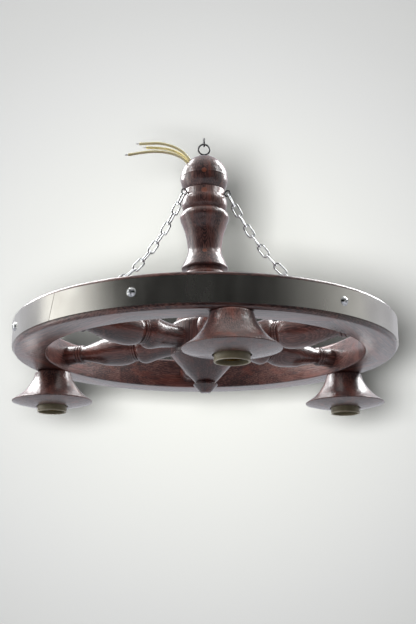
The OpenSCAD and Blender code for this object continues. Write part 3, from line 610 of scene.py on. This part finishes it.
def wheel():
    felloe_span = 59.95                       # leaves a hairline joint to the next one
    for n in range(1, 7):
        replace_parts(lathe(f"felloe_{n}_shaped", felloe_profile(), at_wheel(spoke_step * (n - 1)), felloe_wood,
                          sides=40, span=felloe_span), f"felloe_{n}")
        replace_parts(lathe(f"turned_spoke_{n}", spoke_profile(), at_wheel(spoke_turn(n)) @ ALONG_X, spoke_wood,
                          sides=96), f"spoke_{n}")


wheel()


# Lamps ----------------------------------------------------------------------------------

def cup_profile():
    """A flaring bell, bored for its lampholder up to a thin top that the nipple goes through."""
    top, disc, h = cup_top_r, cup_disc_r, cup_h
    flare = disc - top
    bore, hole, roof, edge, steps = holder_r + 1.7, 5, 5.5, 0.4, 16
    # The underside swells down in a shallow bow from the lip to the bore
    radii = [disc - edge - (disc - edge - bore) * k / steps for k in range(steps)]
    bow = [(r, -h - cup_belly * (1 - (r / disc) ** 2) / (1 - (bore / disc) ** 2)) for r in radii]
    return ([(hole, 0)]
            + run([(top - 2, 0), (top, -0.04 * h), (top + 0.03 * flare, -0.12 * h),
                   (top + 0.08 * flare, -0.235 * h), (top + 0.165 * flare, -0.36 * h),
                   (top + 0.32 * flare, -0.53 * h), (top + 0.47 * flare, -0.665 * h),
                   (top + 0.63 * flare, -0.78 * h), (top + 0.81 * flare, -0.88 * h),
                   (disc - 0.3, cup_lip - h)])
            + [(disc, cup_lip - h - 0.3), (disc, -h + edge)] + bow
            + [(bore, -h - cup_belly + 0.5), (bore, -roof), (hole, -roof)])


def skirt_profile(low, high):
    """A length of the lampholder's wall, with its edges rounded."""
    r, w = holder_r, holder_wall
    return eased([(r - w, low), (r, low), (r, high), (r - w, high)], 0.6)


def lamps():
    lip = 1.6   # the rounded rim of the skirt, drawn in a paler colour than the rest of it
    for k in (1, 2, 3):
        turn = spoke_turn(2 * k - 1)
        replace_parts(lathe(f"turned_cup_{k}", cup_profile(), at_wheel(turn, cup_at, -rim_down), bowl_wood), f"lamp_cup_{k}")
        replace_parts(lathe(f"moulded_skirt_{k}", skirt_profile(holder_end + lip, holder_cap_end),
                          at_wheel(turn, cup_at), holder_plastic), f"holder_skirt_{k}")
        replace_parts(lathe(f"moulded_lip_{k}", skirt_profile(holder_end, holder_end + lip),
                          at_wheel(turn, cup_at), lip_plastic), f"holder_skirt_{k}")


lamps()


# What stays as the CAD has it -----------------------------------------------------------

def dress_nodes():
    finishes = {"tyre": strip_steel, "tyre_screws": bright_zinc, "rod_washer": bright_zinc,
                "rod_nut": bright_zinc, "hang_link": black_oxide, "tie_rod": black_oxide,
                "collar_eyes": black_oxide, "rim_eyes": black_oxide, "junction_block": white_porcelain,
                "inner_wires": cream_flex}
    for k in (1, 2, 3):
        finishes.update({f"nipple_{k}": brass, f"thread_shell_{k}": brass, f"contact_spring_{k}": brass,
                         f"holder_cap_{k}": holder_plastic, f"holder_insert_{k}": white_porcelain,
                         f"lamp_lead_{k}": white_flex, f"chain_{k}": bright_zinc})
    for name, material in finishes.items():
        node = nodes[name]
        node.data.materials.clear()
        node.data.materials.append(material)


dress_nodes()


# Stage ----------------------------------------------------------------------------------

# In metres, as the camera sees them: the sheet's distance behind the axis, the height on it that
# the picture's middle shows, and the floor
sheet_away = 0.9
sheet_mid = wheel_z * MM + 0.262
floor = wheel_z * MM - 0.95


def matt_paper():
    """A matt paper sheet. The eye sees it pale, with painted shade in its colour that darkens it a
    little towards the picture's corners, and with the lamp's soft shadow on it. It can't be seen
    from behind, so that it hides nothing in the other views."""
    material, tree, place = begin("matt_paper_backdrop")
    rays = add(tree, "ShaderNodeLightPath")
    centre = SWING @ Vector((0, sheet_away, sheet_mid)) / MM
    away = add(tree, "ShaderNodeVectorMath", {0: place, 1: tuple(centre)}, operation="DISTANCE")
    # The picture's corners are about 0.8 m from its middle on the sheet
    away = add(tree, "ShaderNodeMath", {0: away.outputs["Value"], 1: 800.0}, operation="DIVIDE")
    # Painted shade: the paper's colour darkens from the picture's middle towards its corners
    painted_corner_shade = add(tree, "ShaderNodeValToRGB", {"Fac": away}, [
        (0.0, "#eeefe9"), (0.27, "#ecede8"), (0.54, "#e5e6e3"), (0.8, "#e0e1e0"), (1.0, "#dddedd")])
    # The paper gives back a part of its light only, under a strong lamp of its own, so that the
    # room doesn't fill the shadow. Varnish and steel still show it pale.
    part = (0.3, 0.3, 0.3, 1)
    dimmed = add(tree, "ShaderNodeMix", {"Factor": 1.0, "A": painted_corner_shade, "B": part}, data_type="RGBA",
                 blend_type="MULTIPLY")
    paper = add(tree, "ShaderNodeBsdfDiffuse", {"Color": dimmed})
    pale = add(tree, "ShaderNodeEmission", {"Color": from_hex("#cbcbd1"), "Strength": 1.0})
    front = add(tree, "ShaderNodeMixShader", {0: rays.outputs["Is Glossy Ray"], 1: paper, 2: pale})
    # The floor and the sheet's far parts lie outside that lamp's light, and look as pale as the
    # room from the other sides
    level = 0.57
    low = add(tree, "ShaderNodeSeparateXYZ", {"Vector": place}).outputs["Z"]
    low = add(tree, "ShaderNodeMapRange", {"Value": low, "From Min": floor / MM,
                                           "From Max": (floor + 0.45) / MM, "To Min": level, "To Max": 0.0})
    far = add(tree, "ShaderNodeMapRange", {"Value": away, "From Min": 1.3, "From Max": 2.6,
                                           "To Min": 0.0, "To Max": level}, interpolation_type="SMOOTHSTEP")
    lift = add(tree, "ShaderNodeMath", {0: low, 1: far}, operation="MAXIMUM")
    lift = add(tree, "ShaderNodeMath", {0: lift, 1: rays.outputs["Is Camera Ray"]}, operation="MULTIPLY")
    lift = add(tree, "ShaderNodeEmission", {"Color": from_hex("#fafbf8"), "Strength": lift})
    front = add(tree, "ShaderNodeAddShader", {0: front, 1: lift})
    clear = add(tree, "ShaderNodeBsdfTransparent")
    behind = add(tree, "ShaderNodeNewGeometry").outputs["Backfacing"]
    hidden = add(tree, "ShaderNodeMath", {0: rays.outputs["Is Camera Ray"], 1: behind}, operation="MULTIPLY")
    mix = add(tree, "ShaderNodeMixShader", {0: hidden, 1: front, 2: clear})
    add(tree, "ShaderNodeOutputMaterial", {"Surface": mix})
    return material


def backdrop():
    """A sheet that hangs behind the lamp and sweeps out over the floor far below."""
    sweep, front_end, top = 0.5, -4.0, 3.2
    turns = [math.radians(a) for a in range(6, 90, 6)]
    bend = sheet_away - sweep
    line = [(front_end, floor), (bend, floor)]
    line += [(bend + sweep * math.sin(t), floor + sweep - sweep * math.cos(t)) for t in turns]
    line += [(sheet_away, floor + sweep), (sheet_away, top)]
    across = (-4, -1.5, 0, 1.5, 4)
    bm = bmesh.new()
    rows = [[bm.verts.new(SWING @ Vector((x, y, z))) for x in across] for y, z in line]
    for one, two in zip(rows, rows[1:]):
        for i in range(len(across) - 1):
            bm.faces.new((one[i], one[i + 1], two[i + 1], two[i]))
    mesh = bpy.data.meshes.new("backdrop")
    bm.to_mesh(mesh)
    bm.free()
    for face in mesh.polygons:
        face.use_smooth = True
    mesh.materials.append(matt_paper())
    sheet = bpy.data.objects.new("backdrop", mesh)
    bpy.context.scene.collection.objects.link(sheet)
    return sheet


def world():
    """A room that is dim on the camera's side and pale beside, behind and over the lamp, and
    bright at the far left, which the tyre shows. The camera sees it plain and pale."""
    room = bpy.data.worlds.new("studio")
    room.use_nodes = True
    tree = room.node_tree
    tree.nodes.clear()
    direction = add(tree, "ShaderNodeTexCoord").outputs["Generated"]
    turned = add(tree, "ShaderNodeMapping", {"Vector": direction,
                                             "Rotation": (0, 0, -math.radians(lamp_turn))})
    xyz = add(tree, "ShaderNodeSeparateXYZ", {"Vector": turned})
    depth = add(tree, "ShaderNodeMapRange", {"Value": xyz.outputs["Y"], "From Min": -0.75, "From Max": 0.3,
                                             "To Min": 0.016, "To Max": 0.72})
    above = add(tree, "ShaderNodeMapRange", {"Value": xyz.outputs["Z"], "From Min": 0.3, "From Max": 1.0,
                                             "To Min": 0.0, "To Max": 0.35})
    side = add(tree, "ShaderNodeMapRange", {"Value": xyz.outputs["X"], "From Min": -1.0, "From Max": -0.7,
                                            "To Min": 3.6, "To Max": 0.98}, interpolation_type="SMOOTHSTEP")
    level = add(tree, "ShaderNodeMath", {0: depth, 1: side, 2: above}, operation="MULTIPLY_ADD")
    rays = add(tree, "ShaderNodeLightPath")
    lit = add(tree, "ShaderNodeBackground", {"Color": from_hex("#fffefc"), "Strength": level})
    seen = add(tree, "ShaderNodeBackground", {"Color": from_hex("#dcdddb"), "Strength": 1.0})
    mix = add(tree, "ShaderNodeMixShader", {0: rays.outputs["Is Camera Ray"], 1: lit, 2: seen})
    add(tree, "ShaderNodeOutputWorld", {"Surface": mix})
    bpy.context.scene.world = room


def softbox(name, place, size, power, sheet, on_sheet=False, gloss=True):
    """A softbox at a place round the lamp's middle, in metres as the camera sees it, that lights
    either the lamp or the sheet behind it. One without gloss isn't mirrored in varnish or steel."""
    data = bpy.data.lights.new(name, "AREA")
    data.shape = "RECTANGLE"
    data.size, data.size_y = size
    data.energy = power
    light = bpy.data.objects.new(name, data)
    middle = Vector((0, 0, wheel_z * MM + 0.08))     # the lamp's middle, which it points at
    light.location = SWING @ Vector(place) + middle
    light.rotation_mode = "QUATERNION"
    light.rotation_quaternion = (middle - light.location).to_track_quat("-Z", "Y")
    light.visible_camera = False
    light.visible_glossy = gloss
    reach = bpy.data.collections.new(name)
    reach.objects.link(sheet)
    reach.collection_objects[0].light_linking.link_state = "INCLUDE" if on_sheet else "EXCLUDE"
    light.light_linking.receiver_collection = reach
    bpy.context.scene.collection.objects.link(light)
    return light


def lights(sheet):
    softbox("front_fill", (-0.9, -1.6, 0.9), (1.6, 1.6), 12, sheet, gloss=False)
    softbox("left_rear_softbox", (-0.72, 0.45, 0.75), (0.5, 0.9), 17, sheet)
    softbox("right_rear_softbox", (0.78, 0.45, 0.75), (0.45, 0.9), 15, sheet)
    softbox("left_top_softbox", (-0.85, -0.25, 0.8), (0.3, 0.3), 1.6, sheet)
    softbox("right_top_softbox", (0.85, -0.25, 0.8), (0.3, 0.3), 1.6, sheet)
    softbox("left_softbox", (-1.25, 0.3, 0.25), (0.6, 0.9), 2.6, sheet, gloss=False)
    # The shadow on the sheet comes from a lamp beside the camera. It leans up, so that its light
    # falls off towards the sheet's foot as it does towards the top.
    beside_camera, lean = (-0.075, 0.013, 0), math.radians(39)
    shadow_lamp = softbox("shadow_lamp", (0, -1, 0), (0.2, 0.2), 250, sheet, on_sheet=True)
    shadow_lamp.matrix_world = (camera.matrix_world @ Matrix.Translation(beside_camera)
                                @ Matrix.Rotation(lean, 4, "X"))


world()
lights(backdrop())
bpy.context.scene.view_settings.view_transform = "Standard"
